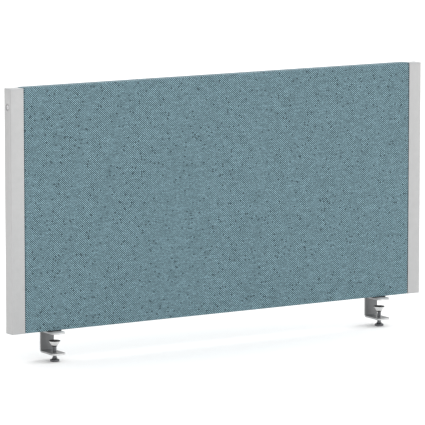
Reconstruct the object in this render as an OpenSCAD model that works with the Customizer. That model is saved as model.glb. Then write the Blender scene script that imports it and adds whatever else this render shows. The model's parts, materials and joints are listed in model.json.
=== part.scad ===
// Desk privacy panel: an upholstered timber-framed screen with aluminium end trims,
// held on a desk edge by two steel C-clamps with screw spindles.
//
// The frame: X runs along the panel and is 0 at its middle, Y = 0 is the desk's edge
// (the inner face of the clamps' back plates, with the desk on the -Y side), and Z = 0
// is the desk's top surface (the underside of the clamps' top flanges).

/* [Panel] */
// Overall width, over both end trims
panel_w = 1200; // [1100:10:1600]
// Overall height of the upholstered panel
panel_h = 600; // [400:10:800]
// Overall thickness
panel_t = 32; // [30:1:40]
// Thickness of the woven cover
fabric_t = 0.8; // [0.6:0.1:1]
// Thickness of the padding under the cover, on each face
pad_t = 2.2; // [2:0.1:3]
// Outside radius of the panel's long edges
edge_r = 3; // [3:0.1:3.8]
// Height of the top and bottom rails
rail_h = 40; // [40:1:60]
// Width of the centre stile
mid_stile_w = 40; // [36:1:60]

/* [End trims] */
// Width of each end trim, seen from the front
trim_w = 36; // [34:1:40]
// Thickness of the trim's outer web
trim_web = 4; // [3.6:0.1:5]
// Thickness of the trim's front and rear legs
trim_leg = 1.6; // [1.2:0.1:1.8]
// How far the trims stop below the panel's top
trim_drop = 1.5; // [0:0.1:3]
// Thickness of the trims' end caps
cap_t = 2.5; // [2:0.1:3]
// Distance of the side screw below the trim's top
side_screw_drop = 45; // [35:1:60]
// Radius of the counterbore that the side screw sits in
recess_r = 8.5; // [7:0.1:9]

/* [Clamps] */
// Distance of each clamp's middle from the panel's end
clamp_inset = 121; // [80:1:200]
// Width of each clamp bracket along the panel
clamp_w = 37.5; // [34:0.5:44]
// Depth of the bracket, from its back face to its front edge
clamp_depth = 67; // [60:1:72]
// Outside height of the bracket
clamp_h = 55.5; // [50:0.5:70]
// Thickness of the bracket's steel strip
strip_t = 4; // [3:0.5:5]
// Outside radius of the bracket's bends
bend_r = 8; // [6:0.5:10]
// Radius of the flanges' front corners, seen from above
flange_corner_r = 10; // [4:1:14]
// Thickness of the spacer between the bracket and the panel
spacer_t = 2.5; // [1:0.5:4]
// Distance of the spindle's axis in from the desk's edge
screw_inset = 36.5; // [32:0.5:40]
// Distance between a bracket's two panel screws
bracket_screw_pitch = 20; // [18:1:22]

/* [Spindle, knob and foot] */
// Depth of the foot's rubber face below the desk plane, as drawn
jaw_gap = 18.8; // [16:0.1:22]
// Outside radius of the spindle's thread
thread_r = 5; // [4:0.5:5]
// Radius of the foot's rubber face
foot_r = 14; // [13:0.5:16]
// Radius of the foot cup's lower end
foot_base_r = 7.5; // [7:0.1:9]
// Height of the foot cup
foot_h = 10.5; // [9:0.1:11]
// Radius of the spindle's ball end
ball_r = 3; // [2.5:0.1:3.2]
// Radius of the knob's rim
knob_r = 11.5; // [10:0.5:15]
// Height of the knob
knob_h = 10; // [9:0.5:14]
// Bare spindle between the press nut and the knob, as drawn
knob_gap = 7; // [4:0.5:10]

/* [Hidden] */
$fn = 64;

LEFT = -1;
RIGHT = 1;
SIDES = [LEFT, RIGHT];

// Fits and gaps
press_gap = 0.02;   // between a pressed or glued piece and its hole
run_gap = 0.05;     // radial clearance of a running fit
loose_gap = 0.5;    // around infill that only fills its bay
trim_joint = 0.5;   // between the cover and the edge of a trim
eps = 1;            // how far a cutter passes a face

// The panel's layers. Inside the panel, Y = 0 is its mid-plane and Z = 0 its bottom edge.
rear_clearance = 11; // from the panel's rear face to the desk's edge line
frame_t = panel_t - 2 * (fabric_t + pad_t);
panel_y = -rear_clearance - panel_t / 2;
panel_z = strip_t + spacer_t;
spacer_setback = 5.5; // from each of the panel's faces in to the spacers
spacer_depth = panel_t - 2 * spacer_setback;
cover_half = panel_w / 2 - trim_w - trim_joint; // the rails end there too
inner_h = panel_h - 2 * fabric_t;

// The trims
trim_h = panel_h - trim_drop;
stile_gap = 0.4;    // between a stile and its trim's web
stile_outer = panel_w / 2 - trim_web - stile_gap;
spigot_h = 7;
spigot_gap = 0.2;   // between a cap's spigot and the channel
spigot_setback = 1.5; // from the legs' ends to the spigot
stile_end = 0.5;    // gap between a cap's spigot and the stile's end
stile_z0 = cap_t + spigot_h + stile_end;
stile_z1 = trim_h - cap_t - spigot_h - stile_end;
side_screw_z = trim_h - side_screw_drop;
cap_screw_x = panel_w / 2 - trim_w / 2;
tail_w = 24;        // cover turned in under each trim leg
tail_gap = 2;       // from a stile's ends to the turned-in cover

// Dowels, staples and inserts
dowel_r = 4;
dowel_l = 30;
dowel_pitch = 15;
dowel_edge = 8;     // from a stile's end to its first dowel
staple_w = 10;
staple_wire = 0.5;
staple_leg = 5;
staple_pitch = 70;
staple_edge = 30;   // from a stile's lower end to its first staple
insert_r = 4.75;
insert_l = 13;
insert_bore_r = 3.05;

// Screws
bracket_screw_r = 3;
bracket_screw_l = 20;
csk_head_r = 6;
csk_head_h = 3;
csk_socket_r = 2.3;
side_screw_r = 2.25;
side_screw_l = 30;
side_head_r = 5.5;
side_head_h = 1.6;
side_socket_r = 2;
side_socket_depth = 1;
recess_depth = 2.6;
cap_screw_r = 2;
cap_screw_l = 30;
cap_head_r = 4;
cap_head_h = 2;
cap_socket_r = 1.7;
head_sink = 0.2;    // how far a countersunk head sits below its face

// The clamps
clamp_x = panel_w / 2 - clamp_inset;
bracket_bottom = strip_t - clamp_h;
flange_top = bracket_bottom + strip_t;
nut_r = 6.5;
nut_head_r = 8.5;
nut_head_t = 1.5;

// Spindle and foot heights
foot_top = -jaw_gap;
lip_t = 1.2;        // rubber lip over the cup's rim
plug_t = 1.8;       // rubber plug inside the cup
plug_r = foot_r - 2.6;
cup_top = foot_top - lip_t;
cup_bottom = cup_top - foot_h;
ball_rise = 3.8;    // from the cup's lower end to the ball's centre
ball_z = cup_bottom + ball_rise;
retainer_r = 8;
retainer_rise = 1.9; // from the ball's centre to the retainer
retainer_z = ball_z + retainer_rise;
neck_r = 2;
neck_hole_r = 2.45; // lets the foot tilt by 5 degrees on its ball
washer_r = 6;
washer_t = 1.5;
washer_top = cup_bottom - 1;
shoulder_z = washer_top - washer_t - run_gap;
knob_top = bracket_bottom - nut_head_t - knob_gap;
knob_bottom = knob_top - knob_h;
knob_neck_r = thread_r + 0.8;
knob_rim_h = 3.6;
knob_rim_step = 0.5; // from the rim in to the start of the flare
knob_edge_r = 0.8;
knob_seat_r = 4;
knob_seat_depth = 8;

// ---------- Helpers ----------

// Moves a piece from the panel's own frame to its place
module in_panel() translate([0, panel_y, panel_z]) children();

// Puts a piece drawn for the left side on the side asked for
module on_side(side) {
    if (side == LEFT) children();
    else mirror([1, 0, 0]) children();
}

// Moves a piece to the middle of one clamp, on the desk's edge
module at_clamp(side) translate([side * clamp_x, 0, 0]) children();

// Moves a piece to one spindle's axis
module at_spindle(side) translate([side * clamp_x, -screw_inset, 0]) children();

// Runs a Y-Z outline along X, from x0 to x1
module along_x(x0, x1)
    translate([x0, 0, 0]) rotate([90, 0, 90]) linear_extrude(x1 - x0) children();

// A rectangle with round corners, centred on x = 0 and standing on y = 0
module round_rect(w, h, r) {
    translate([-w / 2 + r, 0]) square([w - 2 * r, h]);
    translate([-w / 2, r]) square([w, h - 2 * r]);
    for (x = [-1, 1], y = [r, h - r])
        translate([x * (w / 2 - r), y]) circle(r);
}

// A rectangle from x = 0 to depth, centred on y = 0, with its two corners at x = 0 rounded
module round_backed(depth, span, r) {
    translate([r, -span / 2]) square([depth - r, span]);
    translate([0, r - span / 2]) square([2 * r, span - 2 * r]);
    for (y = [-1, 1])
        translate([r, y * (span / 2 - r)]) circle(r);
}

// A channel with its web at x = 0 and its legs running to x = depth
module channel(depth, span, web, leg, r) difference() {
    round_backed(depth, span, r);
    translate([web, 0]) round_backed(depth, span - 2 * leg, max(r - web, 0.4));
}

// A cylinder that stands on z0 and ends at z1
module post(r, z0, z1) translate([0, 0, z0]) cylinder(r = r, h = z1 - z0);

// A cone that stands on z0 and ends at z1
module cone(r0, r1, z0, z1) translate([0, 0, z0]) cylinder(r1 = r0, r2 = r1, h = z1 - z0);

// Points of an arc about c, from angle a0 to a1
function arc(c, r, a0, a1, steps = 10) =
    [for (i = [0 : steps]) let (a = a0 + (a1 - a0) * i / steps) c + r * [cos(a), sin(a)]];

// A screw standing head down on z = 0, with a hexagonal socket in its head
module countersunk_screw(r, l, head_r, head_h, socket_r) difference() {
    union() {
        cone(head_r, r, 0, head_h);
        post(r, head_h - 0.1, l);
    }
    translate([0, 0, -eps]) cylinder(r = socket_r, h = eps + head_h * 0.6, $fn = 6);
}

// The hole for a countersunk screw whose head is head_sink above z = 0
module countersunk_hole(r, depth, head_r, head_h, slack) {
    post(r + slack, -eps, depth);
    post(head_r + slack, -eps, head_sink);
    cone(head_r + slack, r + slack, head_sink, head_sink + head_h);
}

// Places its children at each of a clamp's two panel screws, inside the panel's depth
module at_bracket_screws() {
    for (side = SIDES, dx = [-1, 1])
        translate([side * clamp_x + dx * bracket_screw_pitch / 2, panel_y, 0]) children();
}

// ---------- Timber frame ----------

// All the dowels, or their holes
module dowel_bodies(r) {
    lower_z = stile_z0 + dowel_edge;
    upper_z = stile_z1 - dowel_edge - dowel_pitch;
    for (side = SIDES, z = [lower_z, upper_z], dz = [0, dowel_pitch])
        translate([side * cover_half, 0, z + dz]) rotate([0, 90, 0])
            cylinder(r = r, h = dowel_l, center = true);
    for (x = [-1, 1], z = [fabric_t + rail_h, panel_h - fabric_t - rail_h])
        translate([x * mid_stile_w / 4, 0, z]) cylinder(r = r, h = dowel_l, center = true);
}

module rail(z0) in_panel() difference() {
    translate([-cover_half, -frame_t / 2, z0]) cube([2 * cover_half, frame_t, rail_h]);
    dowel_bodies(dowel_r + press_gap);
}

module top_rail() color("burlywood") rail(panel_h - fabric_t - rail_h);

module bottom_rail() color("burlywood") difference() {
    rail(fabric_t);
    at_bracket_screws() post(insert_r + press_gap, panel_z, panel_z + fabric_t + insert_l + 2);
}

module stile(side) color("burlywood") in_panel() difference() {
    on_side(side) difference() {
        translate([-stile_outer, -frame_t / 2, stile_z0])
            cube([stile_outer - cover_half, frame_t, stile_z1 - stile_z0]);
        translate([-stile_outer - eps, 0, side_screw_z]) rotate([0, 90, 0])
            cylinder(r = side_screw_r + press_gap, h = side_screw_l + eps);
        translate([-cap_screw_x, 0, 0])
            cylinder(r = cap_screw_r + press_gap, h = cap_screw_l + 1);
    }
    dowel_bodies(dowel_r + press_gap);
}

module centre_stile() color("burlywood") in_panel() difference() {
    translate([-mid_stile_w / 2, -frame_t / 2, fabric_t + rail_h])
        cube([mid_stile_w, frame_t, inner_h - 2 * rail_h]);
    dowel_bodies(dowel_r + press_gap);
}

module frame_dowels() color("tan") in_panel() dowel_bodies(dowel_r);

// ---------- Upholstery ----------

// Recycled-fibre infill of one bay of the frame
module core(side) color("gainsboro") in_panel() on_side(side)
    translate([-cover_half + loose_gap, -frame_t / 2, fabric_t + rail_h + loose_gap])
        cube([
            cover_half - mid_stile_w / 2 - 2 * loose_gap,
            frame_t,
            inner_h - 2 * rail_h - 2 * loose_gap
        ]);

module inner_outline() translate([0, fabric_t]) round_rect(
    panel_t - 2 * fabric_t, inner_h, edge_r - fabric_t);

// Padding of one face: face is -1 for the front and 1 for the rear
module padding(face) color("white") in_panel()
    along_x(-cover_half + fabric_t, cover_half - fabric_t) intersection() {
        inner_outline();
        translate([face * (frame_t / 2 + pad_t), panel_h / 2])
            square([2 * pad_t, panel_h], center = true);
    }

// The cover: a sleeve round the panel, turned in at both ends and under the trims' legs
module fabric_cover() color("cadetblue") difference() {
    in_panel() {
        along_x(-cover_half, cover_half) difference() {
            round_rect(panel_t, panel_h, edge_r);
            inner_outline();
        }
        for (side = SIDES, face = [-1, 1]) on_side(side) {
            translate([-cover_half, face * (panel_t / 2 - fabric_t / 2 - pad_t / 2) - pad_t / 2 - 0.1,
                       edge_r])
                cube([fabric_t, pad_t + 0.2, panel_h - 2 * edge_r]);
            translate([-cover_half - tail_w, face * (frame_t + fabric_t) / 2 - fabric_t / 2,
                       stile_z0 + tail_gap])
                cube([tail_w + fabric_t, fabric_t, stile_z1 - stile_z0 - 2 * tail_gap]);
        }
    }
    at_bracket_screws() post(bracket_screw_r + 0.5, panel_z - eps, panel_z + fabric_t + 0.1);
}

// One staple driven through the cover's tail, its crown on the outside of the +Y face
module staple() {
    crown_y = frame_t / 2 + fabric_t;
    translate([-staple_wire / 2, crown_y, -staple_w / 2]) cube([staple_wire * 2, staple_wire, staple_w]);
    for (z = [-staple_w / 2, staple_w / 2 - staple_wire])
        translate([-staple_wire / 2, crown_y - staple_leg, z])
            cube([staple_wire * 2, staple_leg + staple_wire, staple_wire]);
}

module cover_staples() color("silver") in_panel() {
    last_z = stile_z1 - staple_edge / 2;
    for (side = SIDES, face = [0, 180], z = [stile_z0 + staple_edge : staple_pitch : last_z])
        translate([side * (cover_half + tail_w / 2), 0, z]) rotate([0, 0, face]) staple();
}

// Threaded inserts in the bottom rail, for the brackets' screws
module rail_inserts() color("gold") at_bracket_screws() difference() {
    post(insert_r, panel_z + fabric_t, panel_z + fabric_t + insert_l);
    post(insert_bore_r, panel_z, panel_z + fabric_t + insert_l + eps);
}

// ---------- End trims ----------

// Extruded channel that closes one end of the panel
module trim(side) color("silver") in_panel() on_side(side) difference() {
    translate([-panel_w / 2, 0, cap_t]) linear_extrude(trim_h - 2 * cap_t)
        channel(trim_w, panel_t, trim_web, trim_leg, 2);
    translate([-panel_w / 2, 0, side_screw_z]) rotate([0, 90, 0]) {
        post(recess_r, -eps, recess_depth);
        post(side_screw_r + 0.3, 0, trim_web + eps);
    }
}

// Spigot of a cap, inside the channel, from z0 to z1
module spigot(z0, z1) {
    length = trim_w - trim_web - spigot_setback;
    span = panel_t - 2 * (trim_leg + spigot_gap);
    translate([-panel_w / 2 + trim_web + spigot_gap, -span / 2, z0])
        cube([length, span, z1 - z0]);
}

module cap_plate(z0) translate([-panel_w / 2, 0, z0])
    linear_extrude(cap_t) round_backed(trim_w, panel_t, 2);

module top_cap(side) color("silver") in_panel() on_side(side) {
    cap_plate(trim_h - cap_t);
    spigot(trim_h - cap_t - spigot_h, trim_h - cap_t);
}

module bottom_cap(side) color("silver") in_panel() on_side(side) difference() {
    union() {
        cap_plate(0);
        spigot(cap_t, cap_t + spigot_h);
    }
    translate([-cap_screw_x, 0, 0])
        countersunk_hole(cap_screw_r, cap_t + spigot_h + eps, cap_head_r, cap_head_h, 0.1);
}

// Screws through the trims' webs, in their counterbores
module side_screws() color("gray") in_panel() for (side = SIDES) on_side(side)
    translate([-panel_w / 2 + recess_depth, 0, side_screw_z]) rotate([0, 90, 0]) difference() {
        union() {
            post(side_head_r, -side_head_h, 0);
            post(side_screw_r, -side_head_h / 2, side_screw_l - recess_depth - trim_web);
        }
        translate([0, 0, -side_head_h - eps])
            cylinder(r = side_socket_r, h = eps + side_socket_depth, $fn = 6);
    }

// Screws up through the bottom caps, into the stiles' ends
module cap_screws() color("gray") in_panel() for (side = SIDES)
    translate([side * cap_screw_x, 0, head_sink])
        countersunk_screw(cap_screw_r, cap_screw_l, cap_head_r, cap_head_h, cap_socket_r);

// ---------- Clamps ----------

// Bent steel strip: a top flange under the panel, a back plate and a bottom flange
module bracket(side) color("dimgray") difference() {
    at_clamp(side) intersection() {
        along_x(-clamp_w / 2, clamp_w / 2)
            translate([strip_t, strip_t - clamp_h / 2]) mirror([1, 0])
                channel(clamp_depth, clamp_h, strip_t, strip_t, bend_r);
        translate([0, strip_t - clamp_depth, bracket_bottom - eps])
            linear_extrude(clamp_h + 2 * eps) rotate(90)
                round_backed(clamp_depth + eps, clamp_w, flange_corner_r);
    }
    at_bracket_screws()
        countersunk_hole(bracket_screw_r, strip_t + eps, csk_head_r, csk_head_h, 0.2);
    at_spindle(side) post(nut_r + press_gap, bracket_bottom - eps, flange_top + eps);
}

// Spacer between the bracket's top flange and the panel's underside
module spacer(side) color("black") difference() {
    translate([side * clamp_x - clamp_w / 2, panel_y - spacer_depth / 2, strip_t])
        cube([clamp_w, spacer_depth, spacer_t]);
    at_bracket_screws() post(bracket_screw_r + 0.3, strip_t - eps, panel_z + eps);
}

module bracket_screws() color("gray") at_bracket_screws() translate([0, 0, head_sink])
    countersunk_screw(bracket_screw_r, bracket_screw_l, csk_head_r, csk_head_h, csk_socket_r);

// Flanged nut pressed up into the bottom flange: the spindle's thread runs in it
module press_nut(side) color("gainsboro") at_spindle(side) difference() {
    union() {
        post(nut_r, bracket_bottom - nut_head_t / 2, flange_top);
        post(nut_head_r, bracket_bottom - nut_head_t, bracket_bottom);
    }
    post(thread_r + run_gap, bracket_bottom - nut_head_t - eps, flange_top + eps);
}

// ---------- Spindle, knob and foot ----------

// Threaded spindle, from its knob seat up to its ball end
module spindle(side) color("slategray") at_spindle(side) {
    chamfer = 0.8;
    post(knob_seat_r, knob_top - knob_seat_depth, knob_top + chamfer);
    post(thread_r, knob_top, shoulder_z - chamfer);
    cone(thread_r, thread_r - chamfer, shoulder_z - chamfer, shoulder_z);
    post(neck_r, shoulder_z - chamfer, ball_z);
    translate([0, 0, ball_z]) sphere(ball_r);
}

// Flared turning knob, pressed on the spindle's lower end
module knob(side) color("dimgray") at_spindle(side) difference() {
    flare_r = knob_r - knob_rim_step - knob_neck_r;
    rotate_extrude() polygon(concat(
        [[0, knob_bottom]],
        arc([knob_r - knob_edge_r, knob_bottom + knob_edge_r], knob_edge_r, -90, 0, 4),
        [[knob_r, knob_bottom + knob_rim_h]],
        arc([knob_r - knob_rim_step, knob_top], flare_r, 270, 180),
        [[0, knob_top]]
    ));
    post(knob_seat_r + press_gap, knob_top - knob_seat_depth - 0.1, knob_top + eps);
}

// Loose washer on the spindle's neck, between its shoulder and the foot
module thrust_washer(side) color("black") at_spindle(side) difference() {
    post(washer_r, washer_top - washer_t, washer_top);
    post(neck_r + run_gap, washer_top - washer_t - eps, washer_top + eps);
}

// Conical cup that turns and tilts on the spindle's ball
module foot_cup(side) color("whitesmoke") at_spindle(side) difference() {
    cone(foot_base_r, foot_r, cup_bottom, cup_top);
    post(plug_r + press_gap, cup_top - plug_t, cup_top + eps);
    post(retainer_r + press_gap, retainer_z, cup_top);
    post(ball_r + run_gap, ball_z, retainer_z + eps);
    translate([0, 0, ball_z]) sphere(ball_r + run_gap);
    post(neck_hole_r, cup_bottom - eps, ball_z);
}

// Disc pressed into the cup over the ball
module ball_retainer(side) color("silver") at_spindle(side) difference() {
    post(retainer_r, retainer_z, cup_top - plug_t);
    translate([0, 0, ball_z]) sphere(ball_r + run_gap);
}

// Rubber face with a lip over the cup's rim
module foot_pad(side) color("black") at_spindle(side) {
    post(foot_r, cup_top, foot_top);
    post(plug_r, cup_top - plug_t, cup_top + lip_t / 2);
}

top_rail();
bottom_rail();
stile(LEFT);  // left_stile
stile(RIGHT);  // right_stile
centre_stile();
frame_dowels();
core(LEFT);  // left_core
core(RIGHT);  // right_core
padding(-1);  // front_padding
padding(1);  // rear_padding
fabric_cover();
cover_staples();
rail_inserts();
trim(LEFT);  // left_trim
trim(RIGHT);  // right_trim
top_cap(LEFT);  // left_top_cap
top_cap(RIGHT);  // right_top_cap
bottom_cap(LEFT);  // left_bottom_cap
bottom_cap(RIGHT);  // right_bottom_cap
side_screws();
cap_screws();
bracket(LEFT);  // left_bracket
bracket(RIGHT);  // right_bracket
spacer(LEFT);  // left_spacer
spacer(RIGHT);  // right_spacer
bracket_screws();
press_nut(LEFT);  // left_press_nut
press_nut(RIGHT);  // right_press_nut
spindle(LEFT);  // left_spindle
spindle(RIGHT);  // right_spindle
knob(LEFT);  // left_knob
knob(RIGHT);  // right_knob
thrust_washer(LEFT);  // left_thrust_washer
thrust_washer(RIGHT);  // right_thrust_washer
foot_cup(LEFT);  // left_foot_cup
foot_cup(RIGHT);  // right_foot_cup
ball_retainer(LEFT);  // left_ball_retainer
ball_retainer(RIGHT);  // right_ball_retainer
foot_pad(LEFT);  // left_foot_pad
foot_pad(RIGHT);  // right_foot_pad
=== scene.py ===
"""Desk privacy panel: its looks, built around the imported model.

Everything is in metres in the part's own frame: X runs along the panel, the desk is on the -Y
side, and Z = 0 is the desk's top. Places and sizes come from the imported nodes' boxes.
"""

import json
import math

import bmesh
import bpy
import numpy as np
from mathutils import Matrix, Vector, noise

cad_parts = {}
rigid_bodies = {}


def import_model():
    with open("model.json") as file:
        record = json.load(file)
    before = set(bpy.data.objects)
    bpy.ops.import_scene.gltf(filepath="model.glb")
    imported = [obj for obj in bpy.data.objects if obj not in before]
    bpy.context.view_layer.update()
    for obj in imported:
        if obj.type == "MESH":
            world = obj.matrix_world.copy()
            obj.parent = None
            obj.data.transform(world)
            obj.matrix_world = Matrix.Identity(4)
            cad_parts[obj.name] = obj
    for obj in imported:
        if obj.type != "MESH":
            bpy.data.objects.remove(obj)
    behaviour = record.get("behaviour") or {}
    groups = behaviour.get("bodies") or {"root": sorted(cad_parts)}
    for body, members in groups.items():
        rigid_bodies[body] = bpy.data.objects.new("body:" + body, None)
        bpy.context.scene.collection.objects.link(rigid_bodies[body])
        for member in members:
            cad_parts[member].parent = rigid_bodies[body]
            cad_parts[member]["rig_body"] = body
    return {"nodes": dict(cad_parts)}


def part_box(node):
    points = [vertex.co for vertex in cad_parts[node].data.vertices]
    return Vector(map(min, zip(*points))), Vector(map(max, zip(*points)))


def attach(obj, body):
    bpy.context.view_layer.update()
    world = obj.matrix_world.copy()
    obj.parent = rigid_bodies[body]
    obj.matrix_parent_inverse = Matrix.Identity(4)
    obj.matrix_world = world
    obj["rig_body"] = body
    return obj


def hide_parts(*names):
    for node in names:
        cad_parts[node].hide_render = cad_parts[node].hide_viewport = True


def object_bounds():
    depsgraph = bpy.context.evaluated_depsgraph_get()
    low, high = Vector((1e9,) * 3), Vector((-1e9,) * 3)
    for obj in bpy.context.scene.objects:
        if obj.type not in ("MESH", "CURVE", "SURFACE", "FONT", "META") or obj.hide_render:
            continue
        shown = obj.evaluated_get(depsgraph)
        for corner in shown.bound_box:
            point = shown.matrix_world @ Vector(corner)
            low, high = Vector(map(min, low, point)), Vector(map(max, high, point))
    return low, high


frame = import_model()
cad_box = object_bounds()

MM = 0.001
SIDES = ("left", "right")
FACES = ("front", "rear")

# ---------- Places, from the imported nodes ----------

PANEL_LOW, PANEL_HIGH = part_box("fabric_cover")
PANEL_Y = (PANEL_LOW.y + PANEL_HIGH.y) / 2
PANEL_Z = (PANEL_LOW.z + PANEL_HIGH.z) / 2
HALF_THICK = (PANEL_HIGH.y - PANEL_LOW.y) / 2
HALF_HIGH = (PANEL_HIGH.z - PANEL_LOW.z) / 2
TAIL_END = PANEL_HIGH.x
TRIM_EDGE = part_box("right_trim")[0].x
STILE_LOW, STILE_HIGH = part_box("right_stile")
FLOOR_Z = cad_box[0][2]


# ---------- Node materials ----------

def tint(red, green, blue):
    """A colour from 0 to 255 a channel, as a linear one."""
    def linear(value):
        value /= 255
        return value / 12.92 if value <= 0.04045 else ((value + 0.055) / 1.055) ** 2.4
    return (linear(red), linear(green), linear(blue), 1.0)


class Shader:
    """One node material. A value is a number, a colour, or another node's output."""

    def __init__(self, name):
        self.material = bpy.data.materials.new(name)
        self.material.use_nodes = True
        self.tree = self.material.node_tree
        self.surface = self.tree.nodes["Principled BSDF"]

    def put(self, socket, value):
        """Links a node's output to a socket, or sets the socket to a plain value."""
        if isinstance(value, bpy.types.NodeSocket):
            self.tree.links.new(value, socket)
        else:
            socket.default_value = value

    def node(self, kind, values=None, **settings):
        """A new node, with its inputs by name or number and its settings by name."""
        made = self.tree.nodes.new("ShaderNode" + kind)
        for name, setting in settings.items():
            setattr(made, name, setting)
        for socket, value in (values or {}).items():
            self.put(made.inputs[socket], value)
        return made

    def surface_is(self, **values):
        """Finishes the material: the surface shader's inputs, with _ for a space in a name."""
        for name, value in values.items():
            self.put(self.surface.inputs[name.replace("_", " ")], value)
        return self.material

    def calc(self, operation, a, b=0.0):
        return self.node("Math", {0: a, 1: b}, operation=operation).outputs[0]

    def product(self, first, *others):
        for other in others:
            first = self.calc("MULTIPLY", first, other)
        return first

    def scaled(self, value, factor, start=0.0):
        """start + factor x value."""
        made = self.node("Math", {0: value, 1: factor, 2: start}, operation="MULTIPLY_ADD")
        return made.outputs[0]

    def vector(self, x, y, z=0.0):
        return self.node("CombineXYZ", {0: x, 1: y, 2: z}).outputs[0]

    def counted(self, cell, per_cell, within):
        """A vector of its own for each part of a cell: cell x per_cell + within."""
        values = {0: cell, 1: per_cell, 2: within}
        return self.node("VectorMath", values, operation="MULTIPLY_ADD").outputs[0]

    def lottery(self, vector):
        """A random number from 0 to 1 for each whole-number place."""
        return self.node("TexWhiteNoise", {"Vector": vector}, noise_dimensions="2D").outputs[0]

    def between(self, value, low, high):
        """Spreads a value's middle part, 0.3 to 0.7, from low to high."""
        made = self.node("MapRange", {0: value, 1: 0.3, 2: 0.7, 3: low, 4: high})
        return made.outputs[0]

    def colours(self, factor, a, b):
        made = self.node("Mix", {0: factor, 6: a, 7: b}, data_type="RGBA")
        return made.outputs[2]

    def brighten(self, colour, factor):
        value = colour if isinstance(colour, bpy.types.NodeSocket) else colour[:3]
        return self.node("VectorMath", {0: value, "Scale": factor}, operation="SCALE").outputs[0]

    def stretched(self, x=1.0, y=1.0, z=1.0):
        """The object's own coordinates, scaled along each axis."""
        place = self.node("TexCoord").outputs["Object"]
        return self.node("Mapping", {0: place, "Scale": (x, y, z)}).outputs[0]

    def cloud(self, vector, scale, detail=2.0, roughness=0.5):
        values = {"Vector": vector, "Scale": scale, "Detail": detail, "Roughness": roughness}
        return self.node("TexNoise", values).outputs[0]

    def mark(self, name):
        """A number that mesh code left on the surface."""
        return self.node("Attribute", attribute_name=name).outputs["Fac"]

    def relief(self, height, distance, strength):
        values = {"Height": height, "Distance": distance, "Strength": strength}
        return self.node("Bump", values).outputs[0]


YARNS_A_GROUP = 3.0
DARK_WARP = (tint(24, 48, 58), tint(22, 46, 56))         # the two ends of the dye's drift
PALE_WEFT = (tint(144, 177, 187), tint(142, 175, 185))
STREAK_TONE = (0.83, 1.19)                               # the darkest and the lightest
YARN_TONE, GROUP_TONE = (0.36, 0.82), (0.3, 0.87)        # how wide they spread, and the darkest
SPECKS, SPECK_DARKENS = 0.022, 0.75                      # the share of groups that are dark specks
FIBRES_ACROSS, FIBRES_ALONG, PLY_TURNS = 14.0, 3.0, 3.0  # in one group
FIBRE_RAISES, PLY_RAISES = 0.3, 0.08                     # as shares of a yarn's height


def yarn_field(s, cell_x, cell_y, weft_up, x, y):
    """Light and dark runs along each yarn: it varies slowly along the yarn on top."""
    slow, apart = 0.11, 5.3
    warp = s.vector(s.scaled(cell_x, apart), s.scaled(y, slow))
    weft = s.vector(s.scaled(x, slow), s.scaled(cell_y, apart), 9.0)
    top = s.node("Mix", {0: weft_up, 4: warp, 5: weft}, data_type="VECTOR").outputs[1]
    return s.cloud(top, 1.0, 2.0)


def on_top_yarns(s, x, y, weft_up):
    """Places across and along a group's top yarns, from -0.5 to 0.5."""
    in_x = s.calc("SUBTRACT", s.calc("FRACT", x), 0.5)
    in_y = s.calc("SUBTRACT", s.calc("FRACT", y), 0.5)
    swap = s.product(weft_up, s.calc("SUBTRACT", in_y, in_x))
    return s.calc("ADD", in_x, swap), s.calc("SUBTRACT", in_y, swap)


def melange(s, cell, lane, streaks):
    """How light each yarn is: its own tone, its group's tone, a few dark specks and the streaks."""
    group_share = s.lottery(cell)
    yarn_share = s.lottery(s.counted(cell, (3.0, 5.0, 0.0), s.vector(s.calc("FLOOR", lane), 0.0)))
    speck = s.calc("GREATER_THAN", group_share, 1.0 - SPECKS)
    darker = s.scaled(speck, SPECK_DARKENS)
    group_tone = s.calc("SUBTRACT", s.scaled(group_share, *GROUP_TONE), darker)
    yarn_tone = s.scaled(yarn_share, *YARN_TONE)
    return s.product(s.between(streaks, *STREAK_TONE), yarn_tone, group_tone)


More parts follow.
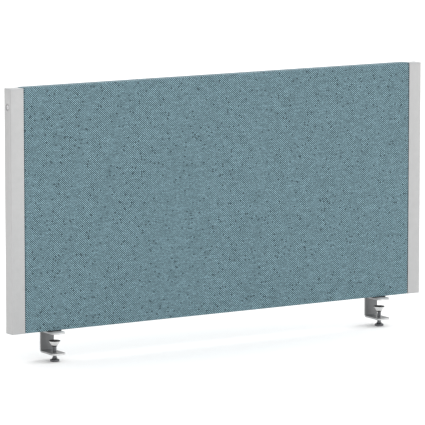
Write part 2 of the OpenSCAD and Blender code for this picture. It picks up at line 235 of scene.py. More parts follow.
def woven_cloth():
    """Basket weave: groups of three pale weft yarns over three dark warp yarns, all melange.

    The cloth's UV map counts groups.
    """
    s = Shader("woven_cloth")
    split = s.node("SeparateXYZ", {0: s.node("UVMap", uv_map="yarns").outputs[0]})
    x, y = split.outputs[0], split.outputs[1]
    cell_x, cell_y = s.calc("FLOOR", x), s.calc("FLOOR", y)
    cell = s.vector(cell_x, cell_y)
    weft_up = s.calc("MODULO", s.calc("ADD", cell_x, cell_y), 2.0)
    across, along = on_top_yarns(s, x, y, weft_up)

    # A yarn is round across its lane and dips at both ends, and a group's outer yarns lie lower.
    lane = s.product(s.calc("ADD", across, 0.5), YARNS_A_GROUP)
    in_lane = s.calc("SUBTRACT", s.calc("FRACT", lane), 0.5)
    crown = s.calc("COSINE", s.scaled(in_lane, 0.8 * math.pi))
    run = s.calc("COSINE", s.scaled(along, 0.76 * math.pi))
    flank = s.calc("COSINE", s.scaled(across, 0.5 * math.pi))
    body = s.product(crown, run, flank)
    ply = s.calc("SINE", s.scaled(s.scaled(along, PLY_TURNS, in_lane), 2 * math.pi))
    strand = s.vector(s.scaled(across, FIBRES_ACROSS), s.scaled(along, FIBRES_ALONG))
    fibre = s.cloud(s.counted(cell, (7.3, 3.7, 0.0), strand), 1.0, 3.0, 0.6)
    height = s.calc("ADD", body, s.scaled(fibre, FIBRE_RAISES, s.scaled(ply, PLY_RAISES)))

    streaks = yarn_field(s, cell_x, cell_y, weft_up, x, y)
    drift = s.between(s.cloud(s.stretched(), 9.0, 3.0), 0.0, 1.0)
    warp, weft = s.colours(drift, *DARK_WARP), s.colours(drift, *PALE_WEFT)
    # Painted shade: a yarn's colour darkens towards its sides and ends, where it dips under its
    # neighbours, and a group's outer yarns are darker.
    depth = s.scaled(s.calc("POWER", body, 0.7), 0.82, 0.3)
    shade = s.product(depth, s.between(fibre, 0.82, 1.18), melange(s, cell, lane, streaks))
    return s.surface_is(
        Base_Color=s.brighten(s.colours(weft_up, warp, weft), shade),
        Roughness=s.between(streaks, 0.86, 0.96), Normal=s.relief(height, 0.35 * MM, 0.5),
        Sheen_Weight=0.12, Sheen_Roughness=0.5, Specular_IOR_Level=0.25)


def metal(name, colour, rough, grain, wear_and_highlight=0.0, worn_and_lit=None, lines=0.05, metallic=1.0, rim=1.0):
    """Metal with fine tool lines. grain scales X, Y and Z: the lines run along the smallest.

    rim is how much of the light a grazed surface keeps.
    """
    s = Shader(name)
    line = s.cloud(s.stretched(*grain), 1.0, 3.0, 0.6)
    patch = s.cloud(s.stretched(), 60.0, 3.0)
    tone = s.product(s.between(line, 1 - lines, 1 + lines), s.between(patch, 0.97, 1.03))
    base = s.brighten(colour, tone)
    # The edge mark mixes towards the lighter tint: wear, and on the trims a painted highlight along the
    # rounded edges.
    if worn_and_lit:
        rubbed_and_lit = s.product(s.mark("edge"), s.between(patch, wear_and_highlight * 0.4, wear_and_highlight))
        base = s.colours(rubbed_and_lit, base, worn_and_lit)
    roughness = s.calc("ADD", s.between(line, rough - 0.04, rough + 0.04), s.between(patch, -0.03, 0.03))
    return s.surface_is(
        Base_Color=base, Metallic=metallic, Roughness=roughness, Specular_Tint=(rim, rim, rim, 1.0),
        Normal=s.relief(line, 0.02 * MM, 0.35))


def painted(name, colour, worn_and_lit, rough=0.42, coat=0.15, metallic=0.35):
    """Sprayed or powder paint: orange peel, a little dust, and paint thin on the edges; on the bracket
    the edge mark also carries painted light.
    """
    s = Shader(name)
    peel = s.cloud(s.stretched(), 900.0, 2.0)
    patch = s.cloud(s.stretched(), 45.0, 4.0)
    # Mixes towards the light tint by the edge mark: thin paint, and on the bracket painted light on its
    # front edges and tops.
    thin_and_lit = s.product(s.mark("edge"), s.between(patch, 0.6, 1.0))
    base = s.brighten(s.colours(thin_and_lit, colour, worn_and_lit), s.between(patch, 0.95, 1.05))
    return s.surface_is(
        Base_Color=base, Metallic=metallic, Roughness=s.between(patch, rough - 0.05, rough + 0.06),
        Coat_Weight=coat, Coat_Roughness=0.3, Normal=s.relief(peel, 0.05 * MM, 0.3))


def moulded(name, colour, grain, rough, depth=0.03):
    """Moulded plastic or rubber: a fine even grain, depth mm deep, and faint flow marks."""
    s = Shader(name)
    fine = s.cloud(s.stretched(), grain, 2.0)
    flow = s.cloud(s.stretched(40.0, 90.0, 25.0), 1.0, 3.0)
    tone = s.product(s.between(flow, 0.94, 1.06), s.between(fine, 0.97, 1.03))
    return s.surface_is(
        Base_Color=s.brighten(colour, tone), Roughness=s.between(fine, rough - 0.06, rough + 0.06),
        Normal=s.relief(fine, depth * MM, 0.4))


def timber(name, pale, dark, grain):
    """Planed softwood. grain scales X, Y and Z: the growth rings run along the smallest."""
    s = Shader(name)
    rings = s.cloud(s.stretched(*grain), 1.0, 3.0, 0.55)
    ring_lines = 34.0
    bands = s.calc("ABSOLUTE", s.calc("SINE", s.scaled(rings, ring_lines)))
    fibre = s.cloud(s.stretched(*(6.0 * g for g in grain)), 1.0, 4.0, 0.7)
    base = s.brighten(s.colours(bands, dark, pale), s.between(fibre, 0.88, 1.1))
    height = s.scaled(bands, 0.4, fibre)
    return s.surface_is(
        Base_Color=base, Roughness=s.between(fibre, 0.6, 0.78),
        Normal=s.relief(height, 0.1 * MM, 0.5))


def felt(name, colour, fleck):
    """Needled fibre: loose tangled threads with a few coloured ones."""
    s = Shader(name)
    tangle = s.cloud(s.stretched(), 700.0, 5.0, 0.75)
    clump = s.cloud(s.stretched(), 90.0, 3.0)
    rare, blend = 0.64, 0.7
    stray = s.calc("GREATER_THAN", s.cloud(s.stretched(300.0, 900.0, 1500.0), 1.0, 2.0), rare)
    mixed = s.colours(s.scaled(stray, blend), colour, fleck)
    height = s.scaled(clump, 0.8, tangle)
    return s.surface_is(
        Base_Color=s.brighten(mixed, s.between(tangle, 0.82, 1.12)),
        Roughness=s.between(clump, 0.88, 0.98), Sheen_Weight=0.2,
        Normal=s.relief(height, 0.4 * MM, 0.6))


def sewing_thread():
    """Twisted polyester thread."""
    s = Shader("sewing_thread")
    twist = s.calc("SINE", s.scaled(s.mark("twist"), 2 * math.pi))
    fuzz = s.between(s.cloud(s.stretched(), 500.0), 0.9, 1.1)
    shade = s.product(s.scaled(twist, 0.14, 0.9), fuzz)
    return s.surface_is(
        Base_Color=s.brighten(tint(64, 92, 100), shade), Roughness=s.between(twist, 0.5, 0.65),
        Normal=s.relief(twist, 0.05 * MM, 0.4))


ALONG_X, ALONG_Z = (3.0, 160.0, 160.0), (160.0, 160.0, 3.0)
BRUSH_Z, TURNED = (2600.0, 2600.0, 6.0), (220.0, 220.0, 2600.0)
MATERIALS = {
    "cover_fabric": woven_cloth(),
    # The trim's rounded edges mix fully to the light tint: edge wear, and a painted highlight along the
    # edges.
    "trim_aluminium": metal(
        "trim_aluminium", tint(179, 179, 179), 0.5, BRUSH_Z, 1.0, tint(232, 232, 232), 0.015, 0.3),
    "cap_plastic": moulded("cap_plastic", tint(174, 175, 176), 1600.0, 0.5, 0.02),
    # The bracket's dark base tint is deepened to stand for painted shade on the plate deep in the jaw;
    # its light second tint is the lit colour, put on the front edges and tops as painted light and on
    # the cut edges as thin paint.
    "bracket_steel": painted("bracket_steel", tint(116, 117, 118), tint(216, 216, 216)),
    "spacer_rubber": moulded("spacer_rubber", tint(38, 38, 40), 1200.0, 0.7),
    "nut_steel": metal("nut_steel", tint(226, 226, 224), 0.3, TURNED, 0.5, tint(240, 240, 240)),
    "spindle_steel": metal(
        "spindle_steel", tint(124, 125, 128), 0.3, TURNED, 0.9, tint(190, 191, 193), 0.08, rim=0.5),
    "knob_steel": metal(
        "knob_steel", tint(106, 107, 110), 0.26, TURNED, 0.7, tint(194, 195, 197), 0.08, rim=0.5),
    "washer_nylon": moulded("washer_nylon", tint(34, 34, 35), 1500.0, 0.5),
    "foot_steel": painted("foot_steel", tint(219, 219, 218), tint(236, 236, 236), 0.32, 0.3, 0.0),
    "foot_rubber": moulded("foot_rubber", tint(32, 32, 33), 1000.0, 0.72),
    "screw_steel": metal("screw_steel", tint(198, 198, 199), 0.3, TURNED, 0.6, tint(230, 230, 230)),
    "staple_wire": metal("staple_wire", tint(206, 206, 204), 0.35, BRUSH_Z),
    "insert_brass": metal("insert_brass", tint(214, 178, 104), 0.34, TURNED, 0.5, tint(240, 214, 150)),
    "core_felt": felt("core_felt", tint(168, 170, 170), tint(70, 84, 96)),
    "padding_felt": felt("padding_felt", tint(232, 232, 228), tint(205, 205, 200)),
    "rail_timber": timber("rail_timber", tint(226, 196, 150), tint(190, 148, 98), ALONG_X),
    "stile_timber": timber("stile_timber", tint(224, 192, 146), tint(186, 146, 98), ALONG_Z),
    "dowel_timber": timber("dowel_timber", tint(214, 184, 140), tint(180, 142, 98), ALONG_X),
    "thread": sewing_thread(),
}


# ---------- Making pieces ----------

WELD = 0.001 * MM
FLAT = math.radians(0.3)     # faces that meet at less than this are joined up
SHARP = math.radians(32.0)   # edges folded by more than this are rounded
NOTHING = 1e-7               # a radius below this is a point on the axis


def add_piece(name, mesh, material, body, replaced=()):
    """Puts a finished mesh in the scene as a piece of the object."""
    piece = bpy.data.objects.new(name, mesh)
    bpy.context.scene.collection.objects.link(piece)
    mesh.materials.clear()
    mesh.materials.append(MATERIALS[material])
    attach(piece, body)
    if replaced:
        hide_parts(*replaced)
    return piece


def smooth(mesh, sharp_degrees):
    mesh.shade_smooth()
    mesh.set_sharp_from_angle(angle=math.radians(sharp_degrees))


def mesh_of(bm, name, sharp_degrees=40.0):
    bmesh.ops.recalc_face_normals(bm, faces=bm.faces)
    mesh = bpy.data.meshes.new(name)
    bm.to_mesh(mesh)
    bm.free()
    smooth(mesh, sharp_degrees)
    return mesh


def mark_edges(bm, edge_faces):
    """Leaves 1 on the rounded edges and 0 elsewhere, for wear; on the trims this also paints a highlight
    along the edges.
    """
    layer = bm.faces.layers.float.new("edge")
    for face in edge_faces:
        if face.is_valid:
            face[layer] = 1.0


def machined(node, name, bevel, material):
    """A copy of a CAD node with its flat faces joined up and its sharp edges rounded."""
    bm = bmesh.new()
    bm.from_mesh(frame["nodes"][node].data)
    for layer in list(bm.loops.layers.uv):
        bm.loops.layers.uv.remove(layer)
    bmesh.ops.remove_doubles(bm, verts=bm.verts, dist=WELD)
    bmesh.ops.dissolve_limit(bm, angle_limit=FLAT, verts=bm.verts, edges=bm.edges)
    corners = [e for e in bm.edges if e.is_manifold and e.calc_face_angle(0.0) > SHARP]
    made = bmesh.ops.bevel(
        bm, geom=corners, offset=bevel, offset_type="OFFSET", segments=2, profile=0.5,
        affect="EDGES", clamp_overlap=True, loop_slide=True)
    mark_edges(bm, made["faces"])
    bmesh.ops.triangulate(bm, faces=[f for f in bm.faces if len(f.verts) > 4])
    body = frame["nodes"][node]["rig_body"]
    return add_piece(name, mesh_of(bm, name), material, body, [node])


def rounded(points, steps=4):
    """An outline with some corners rounded: a point is (radius, z) or (radius, z, corner radius)."""
    out = []
    for i, point in enumerate(points):
        here = Vector(point[:2])
        if len(point) < 3 or i in (0, len(points) - 1):
            out.append(tuple(here))
            continue
        before = (Vector(points[i - 1][:2]) - here).normalized()
        after = (Vector(points[i + 1][:2]) - here).normalized()
        half = before.angle(after) / 2
        reach = point[2] / math.tan(half)
        centre = here + (before + after).normalized() * point[2] / math.sin(half)
        start, end = here + before * reach - centre, here + after * reach - centre
        for k in range(steps + 1):
            out.append(tuple(centre + start.lerp(end, k / steps).normalized() * point[2]))
    return out


def arc(cx, cz, r, first, last, steps):
    """Points on an arc about (cx, cz), between two angles in degrees."""
    angles = [math.radians(first + (last - first) * k / steps) for k in range(steps + 1)]
    return [(cx + r * math.cos(a), cz + r * math.sin(a)) for a in angles]


def revolve(bm, outline, centre, segments, radius_at=None):
    """Adds the surface that an outline of (radius, z) sweeps about the vertical line at centre.

    radius_at may change a radius, from the radius, z and the angle.
    """
    rings = []
    for radius, z in outline:
        if radius < NOTHING:
            rings.append([bm.verts.new((centre[0], centre[1], z))])
            continue
        ring = []
        for k in range(segments):
            angle = 2 * math.pi * k / segments
            r = radius_at(radius, z, angle) if radius_at else radius
            x, y = centre[0] + r * math.cos(angle), centre[1] + r * math.sin(angle)
            ring.append(bm.verts.new((x, y, z)))
        rings.append(ring)
    for low, high in zip(rings, rings[1:]):
        for k in range(segments):
            n = k + 1
            corners = [low[k % len(low)], low[n % len(low)], high[n % len(high)], high[k % len(high)]]
            bm.faces.new(list(dict.fromkeys(corners)))


def ring_profile(bm, rings):
    """Joins rings of equal length into a tube."""
    for low, high in zip(rings, rings[1:]):
        for k in range(len(low)):
            n = (k + 1) % len(low)
            bm.faces.new((low[k], low[n], high[n], high[k]))


# ---------- The cover ----------

YARN_X, YARN_Z = 2.9 * MM, 2.65 * MM
EDGE_R = 3 * MM
TURN_IN = 2.6 * MM       # how deep the cover goes in beside each trim
TURN_LENGTH = 5.0 * MM
GROOVE_FLOOR = 2.0 * MM
RAIL_GAP = 0.5 * MM      # the rails allow no more than this over the top and bottom
FLAP = 2.4 * MM          # how far the cover folds down over the rails' ends
CROWN = 1.0 * MM         # how far the middle of a face stands proud
COVER_END = TRIM_EDGE - 0.1 * MM
COVER_FLAT = COVER_END - TURN_LENGTH
COLUMN_PITCH = 12 * MM
FACE_ROWS = 50
CORNER_STEPS = 3
SEAM_HALF, SEAM_SUNK = 1.4 * MM, 0.5 * MM
TAIL_MARGIN = 2 * MM     # the tails stop this far short of the stile's ends
FLAT_RIM_X, FLAT_RIM_Z = 14 * MM, 12 * MM   # the faces stay flat this far in from their edges
UNEVEN, LUMPS = 0.12 * MM, 22.0             # the padding's waves: how high, how many a metre
SIM_FRAMES = 20


def cover_ring(inset, inset_z):
    """Points (y, z) once round the panel, from the seam below, up the front and down the rear."""
    half_y, half_z = HALF_THICK - inset, HALF_HIGH - inset_z
    r = max(EDGE_R - inset, 0.5 * MM)
    flat_y, flat_z = half_y - r, half_z - r
    sunk = max(0.0, min(SEAM_SUNK, RAIL_GAP + 0.1 * MM - inset_z))
    points = [(0.0, sunk - half_z), (-SEAM_HALF, -half_z)]
    for side_y, side_z, first in ((-1, -1, -90), (-1, 1, 180), (1, 1, 90), (1, -1, 0)):
        for k in range(CORNER_STEPS + 1):
            angle = math.radians(first - 90 * k / CORNER_STEPS)
            points.append((side_y * flat_y + r * math.cos(angle), side_z * flat_z + r * math.sin(angle)))
        if side_y == side_z:
            rows = (1 - 2 * k / FACE_ROWS for k in range(1, FACE_ROWS))
            points += [(side_y * half_y, side_z * flat_z * row) for row in rows]
        elif side_z > 0:
            points.append((0.0, half_z))
    points.append((SEAM_HALF, -half_z))
    return points


def cover_columns():
    """(x, inset, inset_z) of each ring: the cover turns in at both ends."""
    turn = [math.radians(a) for a in (30, 60, 90)]
    curve = TURN_LENGTH - GROOVE_FLOOR
    ends = [(COVER_FLAT + curve * math.sin(a), TURN_IN * (1 - math.cos(a))) for a in turn]
    ends = [(x, inset, min(inset, RAIL_GAP)) for x, inset in ends]
    ends += [(COVER_END - gap, TURN_IN, RAIL_GAP) for gap in (0.4 * MM, 0.1 * MM)]
    ends.append((COVER_END, TURN_IN, FLAP))
    count = round(2 * COVER_FLAT / COLUMN_PITCH)
    middle = [(COVER_FLAT * (2 * i / count - 1), 0.0, 0.0) for i in range(count + 1)]
    return [(-x, *insets) for x, *insets in reversed(ends)] + middle + ends


def add_tails(bm, end_ring, direction):
    """Carries both faces of the cover on under the trim's legs, where the staples hold them."""
    low, high = STILE_LOW.z + TAIL_MARGIN, STILE_HIGH.z - TAIL_MARGIN
    depth = HALF_THICK - TURN_IN - 0.1 * MM
    held = [v if abs(v.co.y - PANEL_Y) > depth and low < v.co.z < high else None for v in end_ring]
    for share in (0.25, 1.0):
        x = direction * (COVER_END + share * (TAIL_END - COVER_END))
        moved = [v and bm.verts.new((x, v.co.y, v.co.z)) for v in held]
        for k in range(len(held) - 1):
            if held[k] and held[k + 1]:
                bm.faces.new((held[k], held[k + 1], moved[k + 1], moved[k]))
        held = moved


def cover_mesh():
    """The sleeve as one layer of cloth, with a UV map that counts its yarns."""
    bm = bmesh.new()
    rings = []
    for x, inset, inset_z in cover_columns():
        around = cover_ring(inset, inset_z)
        rings.append([bm.verts.new((x, PANEL_Y + y, PANEL_Z + z)) for y, z in around])
    ring_profile(bm, rings)
    add_tails(bm, rings[0], -1)
    add_tails(bm, rings[-1], 1)
    bmesh.ops.recalc_face_normals(bm, faces=bm.faces)
    round_it = cover_ring(0.0, 0.0)
    steps = [math.dist(a, b) for a, b in zip(round_it, round_it[1:] + round_it[:1])]
    start = np.concatenate([[0.0], np.cumsum(steps)])
    row_of = {v: k for ring in rings for k, v in enumerate(ring)}
    layer = bm.loops.layers.uv.new("yarns")
    for face in bm.faces:
        rows = [row_of.get(loop.vert) for loop in face.loops]
        wraps = None not in rows and max(rows) - min(rows) > 1
        for loop, row in zip(face.loops, rows):
            if row is None:
                along = start[-1] / 2 + loop.vert.co.z - PANEL_Z
            else:
                along = start[-1] if wraps and row == 0 else start[row]
            loop[layer].uv = ((loop.vert.co.x + TAIL_END) / YARN_X, along / YARN_Z)
    mesh = bpy.data.meshes.new("woven_cover")
    bm.to_mesh(mesh)
    bm.free()
    return mesh


def free_to_swell(co):
    """The vertices in the open middle of the two faces."""
    on_face = np.abs(np.abs(co[:, 1] - PANEL_Y) - HALF_THICK) < 0.01 * MM
    inside_z = np.abs(co[:, 2] - PANEL_Z) < HALF_HIGH - FLAT_RIM_Z
    inside_x = np.abs(co[:, 0]) < COVER_END - FLAT_RIM_X
    return on_face & inside_z & inside_x


def coordinates(mesh):
    co = np.zeros(len(mesh.vertices) * 3, np.float32)
    mesh.vertices.foreach_get("co", co)
    return co.reshape(-1, 3)


def swell_by_cloth(cover, loose):
    """Presses the padding against the cover in a cloth simulation; gives each vertex's move in Y."""
    held = cover.vertex_groups.new(name="held")
    held.add([int(i) for i in np.flatnonzero(~loose)], 1.0, "REPLACE")
    cloth = cover.modifiers.new("padding_pressure", "CLOTH")
    cloth.settings.quality = 4
    cloth.settings.mass = 0.3
    cloth.settings.tension_stiffness = 40
    cloth.settings.compression_stiffness = 40
    cloth.settings.shear_stiffness = 15
    cloth.settings.bending_stiffness = 2
    cloth.settings.use_pressure = True
    cloth.settings.uniform_pressure_force = 4
    cloth.settings.vertex_group_mass = "held"
    cloth.settings.effector_weights.gravity = 0
    cloth.point_cache.frame_start = 1
    cloth.point_cache.frame_end = SIM_FRAMES
    before = coordinates(cover.data)
    for number in range(1, SIM_FRAMES + 1):
        bpy.context.scene.frame_set(number)
    shaped = cover.evaluated_get(bpy.context.evaluated_depsgraph_get())
    after = coordinates(shaped.to_mesh())
    shaped.to_mesh_clear()
    cover.modifiers.remove(cloth)
    cover.vertex_groups.remove(held)
    bpy.context.scene.frame_set(1)
    return after[:, 1] - before[:, 1]


def settle(cover):
    """Gives both faces their crown, at most CROWN deep, and the padding's faint unevenness."""
    co = coordinates(cover.data)
    loose = free_to_swell(co)
    move = swell_by_cloth(cover, loose)
    move = np.where(loose, move, 0.0)
    outward = np.sign(co[:, 1] - PANEL_Y)
    depth = np.clip(move * outward, 0.0, None)
    depth = CROWN * (depth / max(depth.max(), 1e-9)) ** 0.5
    uneven = np.array([noise.noise(Vector(p) * LUMPS) for p in co]) * UNEVEN
    co[:, 1] += outward * np.where(loose, depth + uneven * (depth / CROWN), 0.0)
    cover.data.vertices.foreach_set("co", co.ravel())
    cover.data.update()


def seam_stitches():
    """Slanting stitches that close the sleeve along its underside, left out under the spacers."""
    pitch, length, slant, r = 4.5 * MM, 3.8 * MM, 1.2 * MM, 0.3 * MM
    end_gap, below, end_dip = 6 * MM, 0.15 * MM, 0.8 * MM
    steps, sides = 6, 6
    clamps = [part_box(f"{side}_spacer") for side in SIDES]
    bm = bmesh.new()
    twist = bm.verts.layers.float.new("twist")
    count = int(2 * (COVER_END - end_gap) / pitch)
    for i in range(count):
        x0 = (i - (count - 1) / 2) * pitch
        if any(low.x - pitch < x0 < high.x + pitch for low, high in clamps):
            continue
        rings = []
        for k in range(steps + 1):
            t = k / steps - 0.5
            dip = end_dip * (2 * abs(t)) ** 4
            centre = Vector((x0 + slant * t, PANEL_Y + length * t, PANEL_LOW.z - below + dip))
            ring = []
            for a in range(sides):
                angle = 2 * math.pi * a / sides
                ring.append(bm.verts.new(centre + Vector((r * math.cos(angle), 0, r * math.sin(angle)))))
                ring[-1][twist] = 4 * t + a / sides
            rings.append(ring)
        ring_profile(bm, rings)
        bm.faces.new(list(reversed(rings[0])))
        bm.faces.new(rings[-1])
    mesh = mesh_of(bm, "cover_seam", 60.0)
    return add_piece("cover_seam", mesh, "thread", "panel")


def woven_cover():
    """The cover, its crown and its seam. It was cut as one rectangle, round the panel once."""
    cover = add_piece(
        "woven_cover", cover_mesh(), "cover_fabric", "panel", ["fabric_cover"])
    settle(cover)
    smooth(cover.data, 180.0)
    finer = cover.modifiers.new("finer", "SUBSURF")
    finer.levels = finer.render_levels = 1
    seam_stitches()


# ---------- Padding and infill ----------

PAD_CELL = 24 * MM
PAD_LUMPS = 30.0         # how many waves a metre


def pad_form(node, name, material, soften, wave, inset=(0.0, 0.0)):
    """A soft slab inside a CAD solid's box, with rounded edges and uneven faces."""
    low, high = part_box(node)
    margin = Vector((inset[0], 0.0, inset[1]))
    low, high = low + margin, high - margin
    centre, half = (low + high) / 2, (high - low) / 2
    bm = bmesh.new()
    columns, rows = round(2 * half.x / PAD_CELL), round(2 * half.z / PAD_CELL)
    bmesh.ops.create_grid(bm, x_segments=columns, y_segments=rows, size=1.0)
    for v in bm.verts:
        v.co = Vector((centre.x + v.co.x * half.x, low.y, centre.z + v.co.y * half.z))
    made = bmesh.ops.extrude_face_region(bm, geom=bm.faces[:])
    for v in (g for g in made["geom"] if isinstance(g, bmesh.types.BMVert)):
        v.co.y = high.y
    rim = [e for e in bm.edges if e.is_manifold and e.calc_face_angle(0.0) > 1.0]
    bmesh.ops.bevel(
        bm, geom=rim, offset=soften, segments=3, profile=0.5, affect="EDGES", clamp_overlap=True)
    for v in bm.verts:
        dip = wave * (0.5 + 0.5 * noise.noise(v.co * PAD_LUMPS))
        v.co.y -= dip * (v.co.y - centre.y) / half.y
    piece = add_piece(name, mesh_of(bm, name, 60.0), material, "panel", [node])
    return piece


# ---------- Spindle, knob and foot ----------

PITCH = 1.5 * MM
THREAD_DEPTH = 0.6134 * PITCH
THREAD_FORM = ((0.0, 0.0), (0.125, 0.0), (0.4375, 1.0), (0.6875, 1.0))  # share of a pitch, depth
NECK_R, BALL_R, SEAT_R = 2 * MM, 3 * MM, 4 * MM
KNOB_FLUTES, FLUTE_DEPTH = 30, 0.3 * MM
KNOB_BORE, KNOB_NECK_R = 8.1 * MM, 5.8 * MM
DISH_R, DISH_RIM_R, DISH_DEPTH = 7 * MM, 7.6 * MM, 0.4 * MM   # the hollow under the knob
OVERLAP = 0.3 * MM       # the neck and the seat run this far into the threaded rod
CLEAR = 0.05 * MM        # between the rod's shoulder and the washer
GROOVES, GROOVE_HALF, GROOVE_DEPTH = (11 * MM, 7.5 * MM, 4 * MM), 0.6 * MM, 0.5 * MM


def thread(bm, centre, radius, low, high, chamfer):
    """Adds a right-hand thread between two heights, with chamfered and closed ends."""
    columns, turns = 36, math.ceil((high - low) / PITCH) + 2
    per_turn = len(THREAD_FORM)
    crest = bm.verts.layers.float["edge"]

    def corner(column, row):
        share, depth = THREAD_FORM[row % per_turn]
        z = low - PITCH * (1 - share - row // per_turn - column / columns)
        z = min(max(z, low), high)
        to_end = min(z - low, high - z)
        r = min(radius - depth * THREAD_DEPTH, radius - chamfer + to_end)
        angle = 2 * math.pi * column / columns
        v = bm.verts.new((centre[0] + r * math.cos(angle), centre[1] + r * math.sin(angle), z))
        v[crest] = 1.0 - depth
        return v

    rows = turns * per_turn
    grid = [[corner(c, k) for k in range(rows)] for c in range(columns)]
    for c in range(columns):
        for k in range(rows - per_turn - 1):
            if c + 1 < columns:
                beside = (grid[c + 1][k], grid[c + 1][k + 1])
            else:
                beside = (grid[0][k + per_turn], grid[0][k + per_turn + 1])
            bm.faces.new((grid[c][k], beside[0], beside[1], grid[c][k + 1]))


def close_ends(bm):
    """Welds what the thread's flat ends squeezed together, and fills them."""
    bmesh.ops.remove_doubles(bm, verts=bm.verts, dist=0.002 * MM)
    bmesh.ops.dissolve_degenerate(bm, edges=bm.edges, dist=0.002 * MM)
    bmesh.ops.delete(bm, geom=[v for v in bm.verts if not v.link_faces], context="VERTS")
    bmesh.ops.holes_fill(bm, edges=[e for e in bm.edges if e.is_boundary], sides=0)


def spindle(side):
    """The threaded rod with its neck and ball above and its plain knob seat below."""
    low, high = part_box(f"{side}_spindle")
    centre = ((low.x + high.x) / 2, (low.y + high.y) / 2)
    radius = (high.x - low.x) / 2
    knob_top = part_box(f"{side}_knob")[1].z
    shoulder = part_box(f"{side}_thrust_washer")[0].z - CLEAR
    ball_z = high.z - BALL_R
    bm = bmesh.new()
    bm.verts.layers.float.new("edge")
    thread(bm, centre, radius, knob_top, shoulder, 0.8 * MM)
    close_ends(bm)
    neck_low, seat_high = shoulder - OVERLAP, knob_top + OVERLAP
    ball = arc(0.0, ball_z, BALL_R, -math.degrees(math.acos(NECK_R / BALL_R)), 90, 12)
    ball[-1] = (0.0, ball_z + BALL_R)
    revolve(bm, [(0.0, neck_low), (NECK_R, neck_low)] + ball, centre, 48)
    seat = [(0.0, low.z), (SEAT_R, low.z, 0.4 * MM), (SEAT_R, seat_high), (0.0, seat_high)]
    revolve(bm, rounded(seat), centre, 48)
    name = f"{side}_threaded_spindle"
    body = f"{side}_spindle"
    return add_piece(name, mesh_of(bm, name), "spindle_steel", body, [body])


def knob(side):
    """The flared knob, with fine grip flutes round its rim and a bore for the spindle's seat."""
    low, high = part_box(f"{side}_knob")
    centre = ((low.x + high.x) / 2, (low.y + high.y) / 2)
    rim_r, bore_r = (high.x - low.x) / 2, SEAT_R + 0.02 * MM
    flare_x = rim_r - 0.5 * MM
    flare_r = flare_x - KNOB_NECK_R
    rim_low, rim_high = low.z + 1.0 * MM, high.z - flare_r - 1.4 * MM

    def grip(radius, z, angle):
        if radius < rim_r - 0.01 * MM or not rim_low < z < rim_high:
            return radius
        return radius - FLUTE_DEPTH * (0.5 - 0.5 * math.cos(KNOB_FLUTES * angle))

    dished = [(0.0, low.z + DISH_DEPTH), (DISH_R, low.z + DISH_DEPTH), (DISH_RIM_R, low.z)]
    rim_rows = (rim_low + 0.1 * MM, rim_high - 0.1 * MM, rim_high + 0.2 * MM)
    rim = [(rim_r, low.z, 0.8 * MM)] + [(rim_r, z) for z in rim_rows]
    flare = arc(flare_x, high.z, flare_r, 270, 180, 12)[:-1]
    top = [(KNOB_NECK_R, high.z - 0.3 * MM), (KNOB_NECK_R - 0.3 * MM, high.z), (bore_r, high.z)]
    bore = [(bore_r, high.z - KNOB_BORE), (0.0, high.z - KNOB_BORE)]
    outline = rounded(dished + rim) + flare + top + bore
    bm = bmesh.new()
    revolve(bm, outline, centre, KNOB_FLUTES * 6, grip)
    mark_edges(bm, [f for f in bm.faces if rim_low < f.calc_center_median().z < rim_high])
    name = f"{side}_turning_knob"
    return add_piece(
        name, mesh_of(bm, name, 35.0), "knob_steel", f"{side}_spindle", [f"{side}_knob"])


def foot_rubber(side):
    """The rubber face: a disc over the cup's rim, with round grooves that grip the desk."""
    low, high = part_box(f"{side}_foot_pad")
    cup_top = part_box(f"{side}_foot_cup")[1].z
    centre = ((low.x + high.x) / 2, (low.y + high.y) / 2)
    rim_r = (high.x - low.x) / 2
    plug_r = rim_r - 2.6 * MM
    outline = [(0.0, low.z), (plug_r, low.z, 0.2 * MM), (plug_r, cup_top)]
    outline += [(rim_r, cup_top, 0.25 * MM), (rim_r, high.z, 0.4 * MM)]
    for groove_r in GROOVES:
        outer, inner = groove_r + GROOVE_HALF, groove_r - GROOVE_HALF
        outline += [(outer, high.z), (groove_r, high.z - GROOVE_DEPTH), (inner, high.z)]
    outline.append((0.0, high.z))
    bm = bmesh.new()
    revolve(bm, rounded(outline), centre, 96)
    name = f"{side}_foot_face"
    return add_piece(
        name, mesh_of(bm, name, 50.0), "foot_rubber", f"{side}_foot",
        [f"{side}_foot_pad"])


# ---------- The whole object ----------

SIDE_WEAR_AND_LIGHT, TOP_PAINTED_LIGHT = 0.4, 1.0   # the mark on the strip's side-facing cut edges (thin paint) and on its up-facing tops (painted light from above)


def build_upholstery():
    inset = (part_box("front_padding")[1].x - COVER_FLAT, 1.5 * MM)
    padding = [
        pad_form(f"{face}_padding", f"{face}_batting", "padding_felt", 1.05 * MM, 0.25 * MM, inset)
        for face in FACES
    ]
    for side in SIDES:
        pad_form(f"{side}_core", f"{side}_infill", "core_felt", 2.0 * MM, 0.4 * MM)
    woven_cover()


def build_ends():
    for side in SIDES:
        machined(f"{side}_trim", f"{side}_trim_channel", 0.55 * MM, "trim_aluminium")
        for end in ("top", "bottom"):
            machined(f"{side}_{end}_cap", f"{side}_{end}_end_cap", 0.3 * MM, "cap_plastic")
    machined("side_screws", "side_screw_pair", 0.2 * MM, "screw_steel")
    machined("cap_screws", "cap_screw_pair", 0.12 * MM, "screw_steel")


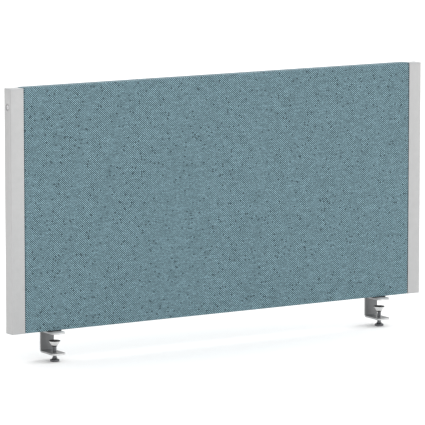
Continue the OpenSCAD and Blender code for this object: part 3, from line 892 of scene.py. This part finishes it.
def thin_paint_and_light(bracket):
    """Paint thin on the strip's cut edges, plus painted light: a cut edge is lighter the more it faces
    the front, and the up-facing tops under the panel get painted light from above.
    """
    mesh = bracket.data
    low_y = min(v.co.y for v in mesh.vertices)
    edge = mesh.attributes["edge"].data
    for face in mesh.polygons:
        at_front = face.normal.y < -0.5 and face.center.y < low_y + 1 * MM
        # Painted light: a cut edge facing the front is lighter than one facing the side.
        if abs(face.normal.x) > 0.1 or at_front:
            edge[face.index].value = SIDE_WEAR_AND_LIGHT + (1 - SIDE_WEAR_AND_LIGHT) * max(0.0, -face.normal.y)
        # Painted light from above on the up-facing tops under the panel.
        elif face.normal.z > 0.9 and face.center.z > 0:
            edge[face.index].value = TOP_PAINTED_LIGHT


def build_clamps():
    machined("bracket_screws", "bracket_screw_set", 0.15 * MM, "screw_steel")
    for side in SIDES:
        thin_paint_and_light(machined(f"{side}_bracket", f"{side}_bent_bracket", 0.45 * MM, "bracket_steel"))
        machined(f"{side}_spacer", f"{side}_rubber_spacer", 0.3 * MM, "spacer_rubber")
        machined(f"{side}_press_nut", f"{side}_flanged_nut", 0.25 * MM, "nut_steel")
        machined(f"{side}_thrust_washer", f"{side}_nylon_washer", 0.2 * MM, "washer_nylon")
        machined(f"{side}_foot_cup", f"{side}_cone_foot", 0.3 * MM, "foot_steel")
        machined(
            f"{side}_ball_retainer", f"{side}_retainer_disc", 0.2 * MM, "screw_steel")
        spindle(side)
        knob(side)
        foot_rubber(side)


def finish_inside():
    """The frame's CAD nodes keep their shapes and get their materials."""
    inside = {
        "rail_timber": ("top_rail", "bottom_rail"),
        "stile_timber": ("left_stile", "right_stile", "centre_stile"),
        "dowel_timber": ("frame_dowels",),
        "staple_wire": ("cover_staples",),
        "insert_brass": ("rail_inserts",),
    }
    for material, names in inside.items():
        for name in names:
            mesh = frame["nodes"][name].data
            mesh.materials.clear()
            mesh.materials.append(MATERIALS[material])


# ---------- Camera, floor and light ----------

CAMERA_PLACE = (-4.9077, -7.9056, 1.5930)     # fitted to the photo's straight edges
CAMERA_YAW, CAMERA_DIP = math.radians(31.816), math.radians(8.177)
CAMERA_LENS, CAMERA_SENSOR = 318.0, 36.0
FAR = 200.0                                   # past the floor's farthest corner
FLOOR_HALF, FLOOR_BELOW = 60.0, 0.2 * MM
SUNS = (                                      # name, strength, where it shines from
    ("side_light", 1.85, (1.0, 0.0, 1.0)),
    ("front_light", 0.35, (0.3, -1.0, 0.2)),
)
SUN_WIDTH = math.radians(60)


def add_camera():
    level = math.cos(CAMERA_DIP)
    look = Vector((math.sin(CAMERA_YAW) * level, math.cos(CAMERA_YAW) * level, -math.sin(CAMERA_DIP)))
    data = bpy.data.cameras.new("camera")
    data.lens, data.sensor_width = CAMERA_LENS, CAMERA_SENSOR
    data.clip_end = FAR
    camera = bpy.data.objects.new("camera", data)
    camera.location = CAMERA_PLACE
    camera.rotation_euler = look.to_track_quat("-Z", "Y").to_euler()
    bpy.context.scene.collection.objects.link(camera)
    bpy.context.scene.camera = camera


def add_floor():
    """A very wide pale floor just under the knobs. It gives way where a pose winds a knob lower."""
    s = Shader("studio_floor")
    fine = s.cloud(s.stretched(), 30.0, 3.0)
    material = s.surface_is(Base_Color=tint(247, 247, 247), Roughness=s.between(fine, 0.85, 0.95))
    bm = bmesh.new()
    bmesh.ops.create_grid(bm, x_segments=8, y_segments=8, size=FLOOR_HALF)
    mesh = bpy.data.meshes.new("studio_floor")
    bm.to_mesh(mesh)
    bm.free()
    mesh.materials.append(material)
    floor = bpy.data.objects.new("studio_floor", mesh)
    floor.location.z = FLOOR_Z - FLOOR_BELOW
    bpy.context.scene.collection.objects.link(floor)
    for side in SIDES:
        below = floor.constraints.new("FLOOR")
        below.target = bpy.data.objects[f"{side}_turning_knob"]
        below.floor_location = "FLOOR_NEGATIVE_Z"
        below.offset = floor.location.z - below.target.matrix_world.translation.z


def add_light():
    """An even white surround, and a wide soft light from the right, in line with the panel."""
    scene = bpy.context.scene
    world = bpy.data.worlds.new("studio")
    world.use_nodes = True
    world.node_tree.nodes["Background"].inputs["Color"].default_value = (1.0, 1.0, 1.0, 1.0)
    world.node_tree.nodes["Background"].inputs["Strength"].default_value = 1.0
    scene.world = world
    scene.view_settings.view_transform = "Standard"
    for name, energy, source in SUNS:
        data = bpy.data.lights.new(name, "SUN")
        data.energy = energy
        data.angle = SUN_WIDTH
        light = bpy.data.objects.new(name, data)
        light.rotation_euler = Vector(source).to_track_quat("Z", "Y").to_euler()
        scene.collection.objects.link(light)


build_upholstery()
build_ends()
build_clamps()
finish_inside()
add_camera()
add_floor()
add_light()
